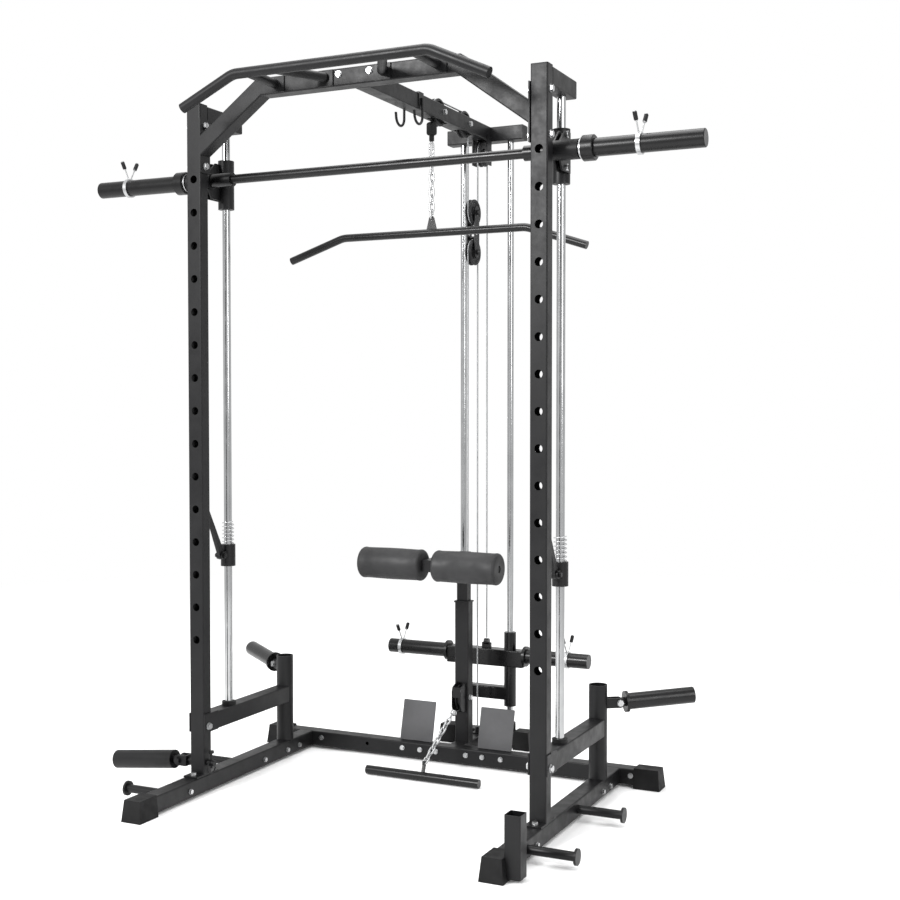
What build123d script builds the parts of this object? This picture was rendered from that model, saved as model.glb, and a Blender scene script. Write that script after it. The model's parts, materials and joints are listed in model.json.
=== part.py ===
"""Power cage with a Smith bar, a lat pull-down tower and a low row.

Millimetres. X is to the right, Y to the back, Z up. The origin is on the floor
at the middle of the footprint. Most pieces come in mirrored pairs about X = 0.
"""

from build123d import *
import math
import os

# ---- driving dimensions -------------------------------------------------
TUBE = 50.0                 # square frame tube
WALL = 2.5                  # tube wall
CORNER = 4.0                # tube corner radius
UPRIGHT_DEPTH = 40.0        # uprights and column are 50 x 40
BASE_Z = 8.0                # underside of the base tubes
BASE_TOP = BASE_Z + TUBE
PLATE = 5.0                 # welded plates

SIDE_X = 560.0              # uprights, rods and posts stand in this plane
UPRIGHT_Y = -300.0
UPRIGHT_TOP = 2100.0
HOLE_R = 12.0
HOLE_PITCH = 100.0
HOLE_COUNT = 15
HOLE_TOP_Z = 1876.0

FRONT_Y = -630.0            # front end of the base beams
CROSS_Y = 340.0             # rear crossbeam centre
CROSS_HALF = 708.0
POST_Y = 180.0              # bar storage posts
POST_R = 28.0
POST_BORE_R = 25.5
POST_TOP = 345.0
MID_Z = 216.0               # side supports between upright and post
MID_HEIGHT = 54.0

ARCH_Z = 2128.0             # centre of the top beams
ARCH_HALF = 323.0           # half length of the straight part, on its centreline
ARCH_ANGLE = 36.0           # slope of the braces
ARCH_PLATE_Z = (1895.0, 2057.0)
ARCH_BOLT_Z = (1916.0, 2037.0)
TOP_BEAM_END_Y = -100.0

ROD_R = 12.5                # Smith guide rods
ROD_Y = -150.0
SLEEVE_R = 25.0             # plate sleeves on the bar and the weight carriage
SMITH_Y = -226.0
SMITH_Z = 1885.0
BAR_R = 14.0
SMITH_HALF = 988.0
STOP_Z = 722.0              # pivot of the safety hook
STOP_HOLE_Z = 876.0         # upright hole that the hook reaches

CABLE_R = 2.5
SHEAVE_R = 40.0             # radius of the cable on its pulleys
PULLEY_R = 44.0
PULLEY_HALF = 11.0          # half width of a pulley
AXLE_R = 5.0
FRONT_PULLEY = (214.0, 2130.0)
MIDDLE_PULLEY = (412.0, 2130.0)
REAR_PULLEY = (572.0, 2060.0)
LOW_PULLEY = (412.0, 209.0)
BLOCK_Y = 492.0
BLOCK_UPPER_Z = 1848.0
BLOCK_LOWER_Z = 1714.0
CABLE_FRONT_Y = FRONT_PULLEY[0] - SHEAVE_R
CABLE_ANCHOR_Z = 80.0

LAT_Y = REAR_PULLEY[0] + SHEAVE_R      # weight carriage, its rods and its cable
LAT_ROD_X = 89.0
LAT_ROD_R = 11.0
CARRIAGE_BEAM_Z = 314.0
CARRIAGE_LOWER_Z = 190.0
CARRIAGE_HALF = 379.0
COLUMN_Y = 420.0
COLUMN_TOP = 530.0
ROLLER_Y = 159.0
ROLLER_Z = 681.0
ROLLER_R = 50.5
ROLLER_INNER = 21.0
ROLLER_OUTER = 243.0

LAT_BAR_Z = 1742.0
PULL_UP_Y = -475.0
PULL_UP_Z = 2130.0

HOLDER_YAW = 35.0
HOLDER_TILT = 3.5
HOLDER_PIVOT = 66.0
HOLDER_FLANGE = 88.0
HOLDER_TIP = 303.0
HOLDER_Z = (306.0, 288.0)     # left, right

RUN_GAP = 0.08              # radial clearance of a running fit
SIDES = (-1, 1)


# ---- planes and repeated shapes -----------------------------------------
def along_x(x, y, z):
    """Sketch plane that faces +X; its own x is Y and its own y is Z."""
    return Plane(origin=(x, y, z), x_dir=(0, 1, 0), z_dir=(1, 0, 0))


def along_y(x, y, z):
    """Sketch plane that faces +Y; its own x is X and its own y points down."""
    return Plane(origin=(x, y, z), x_dir=(1, 0, 0), z_dir=(0, 1, 0))


def along_z(x, y, z):
    """Sketch plane that faces up."""
    return Plane(origin=(x, y, z))


def box_tube(plane, width, depth, length):
    """Rounded rectangular tube, open at both ends."""
    with BuildSketch(plane) as section:
        RectangleRounded(width, depth, CORNER)
        RectangleRounded(width - 2 * WALL, depth - 2 * WALL, CORNER - WALL, mode=Mode.SUBTRACT)
    extrude(section.sketch, amount=length)


def plug(plane, width, depth, head=3.0, reach=14.0):
    """Moulded end plug: a thin head over the tube end and a body inside it."""
    with BuildSketch(plane) as cover:
        RectangleRounded(width, depth, CORNER)
    extrude(cover.sketch, amount=head)
    with BuildSketch(plane) as body:
        RectangleRounded(width - 2 * WALL, depth - 2 * WALL, CORNER - WALL)
    extrude(body.sketch, amount=-reach)


def rod(plane, radius, length, mode=Mode.ADD):
    with BuildSketch(plane) as section:
        Circle(radius)
    extrude(section.sketch, amount=length, mode=mode)


def pipe(plane, outer, inner, length):
    with BuildSketch(plane) as section:
        Circle(outer)
        Circle(inner, mode=Mode.SUBTRACT)
    extrude(section.sketch, amount=length)


def slab(plane, width, depth, length, mode=Mode.ADD):
    with BuildSketch(plane) as section:
        Rectangle(width, depth)
    extrude(section.sketch, amount=length, mode=mode)


def bolt_head(plane, across=17.0, height=6.5, washer_r=11.0):
    """Hexagon head on its washer."""
    rod(plane, washer_r, 2.0)
    with BuildSketch(plane) as head:
        RegularPolygon(across / 2, 6, major_radius=False)
    extrude(head.sketch, amount=2.0 + height)


def wire_along(path, radius):
    """Round wire or rod swept along a line."""
    with BuildSketch(Plane(origin=path.line @ 0, z_dir=path.line % 0)) as section:
        Circle(radius)
    sweep(section.sketch, path=path.line)


def chain_link(plane, wire=3.0, half=8.0, bend=7.0):
    """One oval link, long along the plane's own x."""
    with BuildLine(plane) as loop:
        Line((-half, bend), (half, bend))
        ThreePointArc((half, bend), (half + bend, 0), (half, -bend))
        Line((half, -bend), (-half, -bend))
        ThreePointArc((-half, -bend), (-half - bend, 0), (-half, bend))
    wire_along(loop, wire)


LINK_HALF = 15.0
LINK_PITCH = 2 * LINK_HALF - 2 * 3.0 - 0.6


def pulley(y, z):
    """Grooved nylon pulley on an axle along X."""
    with BuildSketch(Plane(origin=(0, y, z))) as section:
        with BuildLine():
            Polyline(
                (-PULLEY_HALF, AXLE_R + RUN_GAP), (PULLEY_HALF, AXLE_R + RUN_GAP), (PULLEY_HALF, 14.0),
                (PULLEY_HALF - 4, 17.0), (PULLEY_HALF - 4, 33.0), (PULLEY_HALF, 36.0),
                (PULLEY_HALF, PULLEY_R - 2), (PULLEY_HALF - 2, PULLEY_R), (5.5, PULLEY_R),
                (2.8, 37.2), (-2.8, 37.2), (-5.5, PULLEY_R), (2 - PULLEY_HALF, PULLEY_R),
                (-PULLEY_HALF, PULLEY_R - 2), (-PULLEY_HALF, 36.0), (4 - PULLEY_HALF, 33.0),
                (4 - PULLEY_HALF, 17.0), (-PULLEY_HALF, 14.0), close=True,
            )
        make_face()
    revolve(section.sketch, axis=Axis((0, y, z), (1, 0, 0)))


def shifted(point, direction, distance):
    return tuple(place + distance * step for place, step in zip(point, direction))


def holder_frame(side, tilt):
    """Unit vectors of a plate holder: along its pivot bolt, and along its arm."""
    yaw = math.radians(HOLDER_YAW)
    rise = math.radians(tilt)
    across = (-side * math.sin(yaw), math.cos(yaw), 0)
    arm = (side * math.cos(yaw) * math.cos(rise), math.sin(yaw) * math.cos(rise), math.sin(rise))
    return across, arm


def holder_pivot(side, pivot_z):
    return shifted((side * SIDE_X, POST_Y, pivot_z), holder_frame(side, 0)[1], HOLDER_PIVOT)


def save(piece, label):
    piece.part.label = label
    export_step(piece.part, f"parts/{label}.step")


os.makedirs("parts", exist_ok=True)

# ---- base ---------------------------------------------------------------
base_centre_z = BASE_Z + TUBE / 2

SOCKET = 45.0
SOCKET_X = SIDE_X + TUBE / 2 + SOCKET / 2
SOCKET_Y = -590.0
SOCKET_TOP = 170.0
with BuildPart() as base_side_beams:
    for side in SIDES:
        box_tube(along_y(side * SIDE_X, FRONT_Y, base_centre_z), TUBE, TUBE,
                 CROSS_Y - TUBE / 2 - FRONT_Y)
save(base_side_beams, "base_side_beams")

with BuildPart() as socket_tube:
    box_tube(along_z(SOCKET_X, SOCKET_Y, BASE_Z), SOCKET, SOCKET, SOCKET_TOP - BASE_Z)
save(socket_tube, "socket_tube")

with BuildPart() as rear_crossbeam:
    box_tube(along_x(-CROSS_HALF, CROSS_Y, base_centre_z), TUBE, TUBE, 2 * CROSS_HALF)
    with BuildSketch(along_y(0, CROSS_Y - TUBE / 2, base_centre_z)):
        with Locations((-316, -4), (316, -4)):
            Circle(6.0)
    extrude(amount=WALL, mode=Mode.SUBTRACT)
save(rear_crossbeam, "rear_crossbeam")

LAT_FOOT_HALF = 165.0
with BuildPart() as lat_base_frame:
    box_tube(along_y(0, CROSS_Y + TUBE / 2, base_centre_z), TUBE, TUBE, LAT_Y - TUBE - CROSS_Y)
    box_tube(along_x(-LAT_FOOT_HALF, LAT_Y, base_centre_z), TUBE, TUBE, 2 * LAT_FOOT_HALF)
    slab(along_z(0, BLOCK_Y + SHEAVE_R, BASE_TOP), 30, 30, 4)
    pipe(along_z(0, BLOCK_Y + SHEAVE_R, BASE_TOP + 4), 8.0, CABLE_R, CABLE_ANCHOR_Z - BASE_TOP - 4)
save(lat_base_frame, "lat_base_frame")

CAP_LENGTH = 84.0
LAT_CAP_LENGTH = 60.0
CAP_TOP = 63.0
CAP_WALL = 8.0


def foot_cap(plane, tube_width, spread, length):
    """Flared rubber foot over a tube end; the plane looks up at the cap's outer end."""
    with BuildSketch(plane) as sole:
        with Locations((0, length / 2)):
            Rectangle(tube_width + 2 * spread, length)
    with BuildSketch(plane.offset(CAP_TOP)) as top:
        with Locations((0, length / 2 + 3)):
            Rectangle(tube_width + 5, length - 6)
    loft([sole.sketch, top.sketch])


with BuildPart() as foot_caps:
    for side in SIDES:
        foot_cap(Plane(origin=(side * SIDE_X, FRONT_Y - CAP_WALL, 0), x_dir=(1, 0, 0)),
                 TUBE, 9.0, CAP_LENGTH)
        foot_cap(Plane(origin=(side * (CROSS_HALF + CAP_WALL), CROSS_Y, 0), x_dir=(0, side, 0)),
                 TUBE, 9.0, CAP_LENGTH)
        foot_cap(Plane(origin=(side * (LAT_FOOT_HALF + CAP_WALL), LAT_Y, 0), x_dir=(0, side, 0)),
                 TUBE, 6.0, LAT_CAP_LENGTH)
    for side in SIDES:
        slab(along_y(side * SIDE_X, FRONT_Y, base_centre_z), TUBE, TUBE, CAP_LENGTH, Mode.SUBTRACT)
    slab(along_z(SOCKET_X + 10, SOCKET_Y, BASE_Z), SOCKET + 20, SOCKET, SOCKET_TOP, Mode.SUBTRACT)
    slab(along_x(-CROSS_HALF, CROSS_Y, base_centre_z), TUBE, TUBE, 2 * CROSS_HALF, Mode.SUBTRACT)
    slab(along_x(-LAT_FOOT_HALF, LAT_Y, base_centre_z), TUBE, TUBE, 2 * LAT_FOOT_HALF, Mode.SUBTRACT)
save(foot_caps, "foot_caps")

# ---- uprights -----------------------------------------------------------
FOOT_PLATE_HALF = 55.0
LANDMINE_Z = 96.0
LANDMINE_SHAFT_R = 9.5

for side, name in zip(SIDES, ("upright_left", "upright_right")):
    with BuildPart() as upright:
        foot_top = BASE_TOP + PLATE
        box_tube(along_z(side * SIDE_X, UPRIGHT_Y, foot_top), TUBE, UPRIGHT_DEPTH, UPRIGHT_TOP - foot_top)
        slab(along_z(side * SIDE_X, UPRIGHT_Y, BASE_TOP), TUBE, 2 * FOOT_PLATE_HALF, PLATE)
        with BuildSketch(along_y(side * SIDE_X, UPRIGHT_Y - UPRIGHT_DEPTH / 2, HOLE_TOP_Z)):
            with Locations(*[(0, HOLE_PITCH * step) for step in range(HOLE_COUNT)]):
                Circle(HOLE_R)
        extrude(amount=UPRIGHT_DEPTH, mode=Mode.SUBTRACT)
        if side < 0:
            rod(along_x(-SIDE_X - TUBE, UPRIGHT_Y, LANDMINE_Z), LANDMINE_SHAFT_R + RUN_GAP,
                2 * TUBE, Mode.SUBTRACT)
    save(upright, name)

WRAP_T = 4.0
WRAP_Z = (190.0, 248.0)
with BuildPart() as side_supports:
    for side in SIDES:
        start_y = UPRIGHT_Y + UPRIGHT_DEPTH / 2
        box_tube(along_y(side * SIDE_X, start_y, MID_Z), TUBE, MID_HEIGHT, POST_Y - start_y)
        rod(along_z(side * SIDE_X, POST_Y, BASE_TOP), POST_R, POST_TOP - BASE_TOP)
        wrap_plane = along_z(side * SIDE_X, UPRIGHT_Y, WRAP_Z[0])
        with BuildSketch(wrap_plane):
            with Locations((0, 16)):
                Rectangle(TUBE + 2 * WRAP_T, UPRIGHT_DEPTH + 2 * WRAP_T + 24)
            Rectangle(TUBE, UPRIGHT_DEPTH, mode=Mode.SUBTRACT)
            with Locations((0, 40)):
                Rectangle(TUBE, 40, mode=Mode.SUBTRACT)
        extrude(amount=WRAP_Z[1] - WRAP_Z[0])
    for side, pivot_z in zip(SIDES, HOLDER_Z):
        across, out = holder_frame(side, 0)
        for ear in SIDES:
            face = shifted((side * SIDE_X, POST_Y, pivot_z), across, ear * 9)
            with BuildSketch(Plane(origin=face, x_dir=out, z_dir=shifted((0, 0, 0), across, ear))):
                with Locations((HOLDER_PIVOT, 0)):
                    Circle(15)
                with Locations((HOLDER_PIVOT / 2, 0)):
                    Rectangle(HOLDER_PIVOT, 30)
            extrude(amount=5)
        rod(Plane(origin=shifted(holder_pivot(side, pivot_z), across, -20), z_dir=across), 6.0, 40,
            Mode.SUBTRACT)
    for side in SIDES:
        rod(along_z(side * SIDE_X, POST_Y, BASE_TOP + PLATE), POST_BORE_R, POST_TOP - BASE_TOP,
            Mode.SUBTRACT)
save(side_supports, "side_supports")

# ---- small pieces on the base -------------------------------------------
PEG_R = 12.5
PEG_END = 724.0
PEG_Y = (-450.0, -65.0)
PEG_Z = 33.0
with BuildPart() as band_pegs:
    for side in SIDES:
        for peg_y in PEG_Y:
            face_x = side * (SIDE_X + TUBE / 2)
            reach = side * (PEG_END - SIDE_X - TUBE / 2)
            rod(along_x(face_x, peg_y, PEG_Z), PEG_R, reach)
            rod(along_x(side * (PEG_END - 7), peg_y, PEG_Z), 22.0, side * 7)
save(band_pegs, "band_pegs")

# ---- top frame ----------------------------------------------------------
half_mitre = math.tan(math.radians(ARCH_ANGLE / 2)) * TUBE / 2
arch_drop = math.tan(math.radians(ARCH_ANGLE))

with BuildPart() as arch_beam:
    box_tube(along_x(-ARCH_HALF - half_mitre, UPRIGHT_Y, ARCH_Z), TUBE, TUBE,
             2 * (ARCH_HALF + half_mitre))
    for side in SIDES:
        with BuildSketch(along_y(0, UPRIGHT_Y - TUBE / 2, ARCH_Z)):
            with BuildLine():
                Polyline((side * (ARCH_HALF + half_mitre), -TUBE / 2),
                         (side * (ARCH_HALF - half_mitre), TUBE / 2),
                         (side * (ARCH_HALF + TUBE), TUBE / 2),
                         (side * (ARCH_HALF + TUBE), -TUBE / 2), close=True)
            make_face()
        extrude(amount=TUBE, mode=Mode.SUBTRACT)
save(arch_beam, "arch_beam")

inner_x = SIDE_X - TUBE / 2
with BuildPart() as arch_braces:
    for side in SIDES:
        slope = Plane(origin=(side * (ARCH_HALF - TUBE), UPRIGHT_Y, ARCH_Z + TUBE * arch_drop),
                      x_dir=(0, 1, 0),
                      z_dir=(side * math.cos(math.radians(ARCH_ANGLE)), 0,
                             -math.sin(math.radians(ARCH_ANGLE))))
        box_tube(slope, TUBE, TUBE, 420.0)
    for side in SIDES:
        with BuildSketch(along_y(0, UPRIGHT_Y - TUBE / 2, ARCH_Z)):
            with BuildLine():
                Polyline((0, -2 * TUBE), (side * (ARCH_HALF + 4 * half_mitre), -2 * TUBE),
                         (side * (ARCH_HALF - 4 * half_mitre), 2 * TUBE), (0, 2 * TUBE), close=True)
            make_face()
        extrude(amount=TUBE, mode=Mode.SUBTRACT)
        slab(along_x(side * (inner_x - WRAP_T), UPRIGHT_Y, ARCH_Z), TUBE, 800.0, side * 200, Mode.SUBTRACT)
    for side in SIDES:
        plate_z = sum(ARCH_PLATE_Z) / 2
        slab(along_x(side * inner_x, UPRIGHT_Y, plate_z), TUBE, ARCH_PLATE_Z[1] - ARCH_PLATE_Z[0],
             -side * WRAP_T)
save(arch_braces, "arch_braces")

with BuildPart() as top_side_beams:
    for side in SIDES:
        start_y = UPRIGHT_Y + UPRIGHT_DEPTH / 2
        box_tube(along_y(side * SIDE_X, start_y, UPRIGHT_TOP - TUBE / 2), TUBE, TUBE,
                 TOP_BEAM_END_Y - start_y)
save(top_side_beams, "top_side_beams")

SLOT_WIDTH = 27.0
REAR_TOP_HALF = 138.0
lat_beam_start = UPRIGHT_Y + TUBE / 2
lat_beam_end = LAT_Y - TUBE / 2
with BuildPart() as lat_beam:
    box_tube(along_y(0, lat_beam_start, ARCH_Z), TUBE, TUBE, lat_beam_end - lat_beam_start)
    for pulley_y, pulley_z in (FRONT_PULLEY, MIDDLE_PULLEY):
        slab(along_z(0, pulley_y, ARCH_Z - TUBE), SLOT_WIDTH, 100.0, 2 * TUBE, Mode.SUBTRACT)
        rod(along_x(-TUBE, pulley_y, pulley_z), AXLE_R, 2 * TUBE, Mode.SUBTRACT)
    slab(along_z(0, REAR_PULLEY[0] - 6, ARCH_Z - TUBE), SLOT_WIDTH, 40.0, TUBE, Mode.SUBTRACT)
    box_tube(along_x(-REAR_TOP_HALF, LAT_Y, ARCH_Z), TUBE, TUBE, 2 * REAR_TOP_HALF)
save(lat_beam, "lat_beam")

GRIP_TIP = (484.0, 2050.0)
GRIP_BEND_X = 309.0
PULL_UP_R = 15.0
STRUT_X = 262.0
HANDLE_X = (172.0, 93.0)
arch_front = UPRIGHT_Y - TUBE / 2
with BuildPart() as pull_up_bar:
    with BuildLine(Plane(origin=(0, PULL_UP_Y, 0), x_dir=(1, 0, 0), z_dir=(0, -1, 0))) as grip_path:
        FilletPolyline((-GRIP_TIP[0], GRIP_TIP[1]), (-GRIP_BEND_X, PULL_UP_Z),
                       (GRIP_BEND_X, PULL_UP_Z), GRIP_TIP, radius=70)
    wire_along(grip_path, PULL_UP_R)
    for side in SIDES:
        rod(along_y(side * STRUT_X, PULL_UP_Y, PULL_UP_Z), 13.0, arch_front - PULL_UP_Y)
        slab(along_y(side * STRUT_X, arch_front, PULL_UP_Z - 2), 60.0, 46.0, -PLATE)
        with BuildLine() as handle_path:
            Line((side * HANDLE_X[0], PULL_UP_Y, PULL_UP_Z), (side * HANDLE_X[1], arch_front - 7.5, PULL_UP_Z))
        wire_along(handle_path, 13.5)
        slab(along_y(side * HANDLE_X[1], arch_front, PULL_UP_Z - 2), 50.0, 46.0, -PLATE)
save(pull_up_bar, "pull_up_bar")

HOOK_Y = 45.0
HOOK_X = TUBE / 2 + 6.5
with BuildPart() as sling_hooks:
    strap_low = ARCH_Z - 12.0
    slab(along_z(0, HOOK_Y, strap_low), TUBE + 6, 32.0, ARCH_Z + TUBE / 2 + 3 - strap_low)
    slab(along_z(0, HOOK_Y, strap_low - 1), TUBE, 40.0, ARCH_Z + TUBE / 2 + 1 - strap_low, Mode.SUBTRACT)
    for side in SIDES:
        with BuildLine(along_x(side * HOOK_X, 0, 0)) as hook_path:
            Line((HOOK_Y, ARCH_Z + 10), (HOOK_Y, 2081))
            CenterArc((HOOK_Y - 27, 2081), 27, 0, -180)
            Line((HOOK_Y - 54, 2081), (HOOK_Y - 56, 2090))
        wire_along(hook_path, 4.0)
save(sling_hooks, "sling_hooks")

# ---- guide rods and bumpers ---------------------------------------------
mid_top = MID_Z + MID_HEIGHT / 2
with BuildPart() as guide_rods:
    for side in SIDES:
        rod(along_z(side * SIDE_X, ROD_Y, mid_top), ROD_R, UPRIGHT_TOP - TUBE - mid_top)
        rod(along_z(side * LAT_ROD_X, LAT_Y, BASE_TOP), LAT_ROD_R, ARCH_Z - TUBE / 2 - BASE_TOP)
save(guide_rods, "guide_rods")

BUMPER_HEIGHT = 12.0
with BuildPart() as rod_bumpers:
    for side in SIDES:
        pipe(along_z(side * SIDE_X, ROD_Y, mid_top), 22.0, ROD_R, BUMPER_HEIGHT)
        pipe(along_z(side * LAT_ROD_X, LAT_Y, BASE_TOP), 20.0, LAT_ROD_R, 30.0)
save(rod_bumpers, "rod_bumpers")

# ---- column, foot plates and pulley brackets ----------------------------
with BuildPart() as centre_column:
    box_tube(along_z(0, COLUMN_Y, BASE_TOP), TUBE, UPRIGHT_DEPTH, COLUMN_TOP - BASE_TOP)
    slab(along_y(0, COLUMN_Y - TUBE, LOW_PULLEY[1]), SLOT_WIDTH, 100.0, 2 * TUBE, Mode.SUBTRACT)
    rod(along_x(-TUBE, LOW_PULLEY[0], LOW_PULLEY[1]), AXLE_R, 2 * TUBE, Mode.SUBTRACT)
save(centre_column, "centre_column")

ARM_W = 38.0
ARM_D = 30.0
SLIDE_GAP = 0.3

PLATE_LEAN = 13.4
PLATE_W = 120.0
PLATE_H = 134.0
with BuildPart() as foot_plates:
    for side in SIDES:
        lean = Plane(origin=(side * 144.0, 345.0, BASE_TOP + 1.5), x_dir=(1, 0, 0),
                     z_dir=(0, -math.cos(math.radians(PLATE_LEAN)), math.sin(math.radians(PLATE_LEAN))))
        with BuildSketch(lean):
            with Locations((0, PLATE_H / 2)):
                RectangleRounded(PLATE_W, PLATE_H, 4.0)
        extrude(amount=-PLATE)
        with BuildSketch(along_x(side * 144.0 - 15, 0, 0)):
            with BuildLine():
                Polyline((351, BASE_TOP), (364, BASE_TOP), (376, 150), (371.5, 150), close=True)
            make_face()
        extrude(amount=30)
    slab(along_z(0, CROSS_Y, BASE_TOP), 600, 100, -40, Mode.SUBTRACT)
save(foot_plates, "foot_plates")

BRACKET_T = 4.0
GUARD_X = 14.0
with BuildPart() as pulley_brackets:
    for side in SIDES:
        with BuildSketch(along_x(side * TUBE / 2, REAR_PULLEY[0] - 6, 0)):
            with Locations((0, REAR_PULLEY[1] + 8)):
                Rectangle(36, 98)
        extrude(amount=side * BRACKET_T)
        with BuildSketch(along_x(side * GUARD_X, 0, 0)):
            with BuildLine():
                Polyline((400, 158), (400, 262), (364, 250), (358, 236), (358, 184), (366, 170), close=True)
            make_face()
        extrude(amount=side * 3.0)
    rod(along_x(-30, REAR_PULLEY[0], REAR_PULLEY[1]), AXLE_R, 60, Mode.SUBTRACT)
    slab(along_z(0, 361, 215), 2 * GUARD_X, 4, 34)
save(pulley_brackets, "pulley_brackets")

# ---- fasteners ----------------------------------------------------------
FACE = TUBE / 2
with BuildPart() as frame_bolts:
    for side in SIDES:
        for bolt_y in (UPRIGHT_Y - 38, UPRIGHT_Y + 38):
            bolt_head(along_z(side * SIDE_X, bolt_y, BASE_TOP + PLATE), 15.0, 6.0, 9.0)
        for bolt_z in ARCH_BOLT_Z:
            bolt_head(Plane(origin=(side * (SIDE_X + FACE), UPRIGHT_Y, bolt_z), z_dir=(side, 0, 0)))
            bolt_head(Plane(origin=(side * (inner_x - WRAP_T), UPRIGHT_Y, bolt_z), z_dir=(-side, 0, 0)))
        for nut_side in (-1, 1):
            bolt_head(Plane(origin=(side * SIDE_X + nut_side * (FACE + WRAP_T), UPRIGHT_Y, 209.0),
                            z_dir=(nut_side, 0, 0)))
        for bolt_y in (-389.0, 154.0, 222.0):
            bolt_head(Plane(origin=(side * (SIDE_X + FACE), bolt_y, 26.0), z_dir=(side, 0, 0)), 13.0, 5.0, 8.0)
        for bolt_y in (-389.0, 15.0, 154.0, 229.0):
            bolt_head(Plane(origin=(side * inner_x, bolt_y, 29.0), z_dir=(-side, 0, 0)), 13.0, 5.0, 8.0)
        for bolt_x in (55.0, 114.0, 180.0, 497.0, 621.0):
            bolt_head(Plane(origin=(side * bolt_x, CROSS_Y - FACE, 38.0), z_dir=(0, -1, 0)), 13.0, 5.0, 8.5)
        bolt_head(Plane(origin=(side * 50.0, arch_front, ARCH_Z + 8), z_dir=(0, -1, 0)), 15.0, 5.0, 9.5)
        for bolt_z in (30.0, 47.0):
            bolt_head(Plane(origin=(side * 45.0, LAT_Y + FACE, bolt_z - 4), z_dir=(0, 1, 0)), 11.0, 4.0, 7.0)
    for side, pivot_z in zip(SIDES, HOLDER_Z):
        across = holder_frame(side, 0)[0]
        pivot = holder_pivot(side, pivot_z)
        rod(Plane(origin=shifted(pivot, across, -14), z_dir=across), 6.0, 28)
        for ear in SIDES:
            bolt_head(Plane(origin=shifted(pivot, across, 14 * ear), z_dir=shifted((0, 0, 0), across, ear)),
                      17.0, 6.0, 10.0)
    for axle_y, axle_z, half in (
        (FRONT_PULLEY[0], FRONT_PULLEY[1], FACE), (MIDDLE_PULLEY[0], MIDDLE_PULLEY[1], FACE),
        (REAR_PULLEY[0], REAR_PULLEY[1], FACE + BRACKET_T), (LOW_PULLEY[0], LOW_PULLEY[1], FACE),
    ):
        rod(along_x(-half, axle_y, axle_z), AXLE_R, 2 * half)
        for side in SIDES:
            rod(along_x(side * (PULLEY_HALF + 0.5), axle_y, axle_z), 8.0, side * 1.5)
            bolt_head(Plane(origin=(side * half, axle_y, axle_z), z_dir=(side, 0, 0)), 15.0, 6.0, 9.0)
save(frame_bolts, "frame_bolts")

BUSH_REACH = 26.0
with BuildPart() as tube_plugs:
    for depth, width, reach in ((UPRIGHT_DEPTH + 4, TUBE + 4, 5),
                                (UPRIGHT_DEPTH - 2 * WALL, TUBE - 2 * WALL, -BUSH_REACH)):
        with BuildSketch(along_z(0, COLUMN_Y, COLUMN_TOP)):
            RectangleRounded(width, depth, CORNER - WALL)
            Rectangle(ARM_W + 2 * SLIDE_GAP, ARM_D + 2 * SLIDE_GAP, mode=Mode.SUBTRACT)
        extrude(amount=reach)
    for side in SIDES:
        plug(along_z(side * SIDE_X, UPRIGHT_Y, UPRIGHT_TOP), TUBE, UPRIGHT_DEPTH)
        plug(along_y(side * SIDE_X, TOP_BEAM_END_Y, UPRIGHT_TOP - TUBE / 2), TUBE, TUBE)
        plug(Plane(origin=(side * REAR_TOP_HALF, LAT_Y, ARCH_Z), x_dir=(0, 1, 0), z_dir=(side, 0, 0)),
             TUBE, TUBE)
save(tube_plugs, "tube_plugs")

# ---- cables -------------------------------------------------------------
with BuildPart() as guided_cables:
    with BuildLine(Plane.YZ) as over_top:
        CenterArc(FRONT_PULLEY, SHEAVE_R, 180, -90)
        Line((FRONT_PULLEY[0], FRONT_PULLEY[1] + SHEAVE_R), (MIDDLE_PULLEY[0], MIDDLE_PULLEY[1] + SHEAVE_R))
        CenterArc(MIDDLE_PULLEY, SHEAVE_R, 90, -90)
    wire_along(over_top, CABLE_R)
    with BuildLine(Plane.YZ) as over_rear:
        CenterArc(REAR_PULLEY, SHEAVE_R, 180, -180)
    wire_along(over_rear, CABLE_R)
    with BuildLine(Plane.YZ) as under_low:
        CenterArc(LOW_PULLEY, SHEAVE_R, 0, -90)
        Line((LOW_PULLEY[0], LOW_PULLEY[1] - SHEAVE_R), (350.0, LOW_PULLEY[1] - SHEAVE_R))
    wire_along(under_low, CABLE_R)
save(guided_cables, "guided_cables")

BALL_TOP = 2091.0
BALL_BOTTOM = 2051.0
EYE_TOP = 378.0
block_front_y = BLOCK_Y - SHEAVE_R
block_rear_y = BLOCK_Y + SHEAVE_R
cable_runs = {
    "cable_run_middle": ((block_front_y, BLOCK_UPPER_Z, MIDDLE_PULLEY[1]),),
    "cable_run_rear": ((block_rear_y, BLOCK_UPPER_Z, REAR_PULLEY[1]),),
    "cable_run_carriage": ((LAT_Y, EYE_TOP, REAR_PULLEY[1]),),
    "cable_runs_low": ((block_front_y, LOW_PULLEY[1], BLOCK_LOWER_Z),
                       (block_rear_y, CABLE_ANCHOR_Z, BLOCK_LOWER_Z)),
}
for name, runs in cable_runs.items():
    with BuildPart() as cable_run:
        for run_y, low_z, high_z in runs:
            rod(along_z(0, run_y, low_z), CABLE_R, high_z - low_z)
    save(cable_run, name)

# ---- pulleys ------------------------------------------------------------
pulleys = {
    "pulley_front": FRONT_PULLEY,
    "pulley_middle": MIDDLE_PULLEY,
    "pulley_rear": REAR_PULLEY,
    "pulley_low": LOW_PULLEY,
    "block_pulley_upper": (BLOCK_Y, BLOCK_UPPER_Z),
    "block_pulley_lower": (BLOCK_Y, BLOCK_LOWER_Z),
}
for name, (pulley_y, pulley_z) in pulleys.items():
    with BuildPart() as sheave:
        pulley(pulley_y, pulley_z)
    save(sheave, name)

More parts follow.
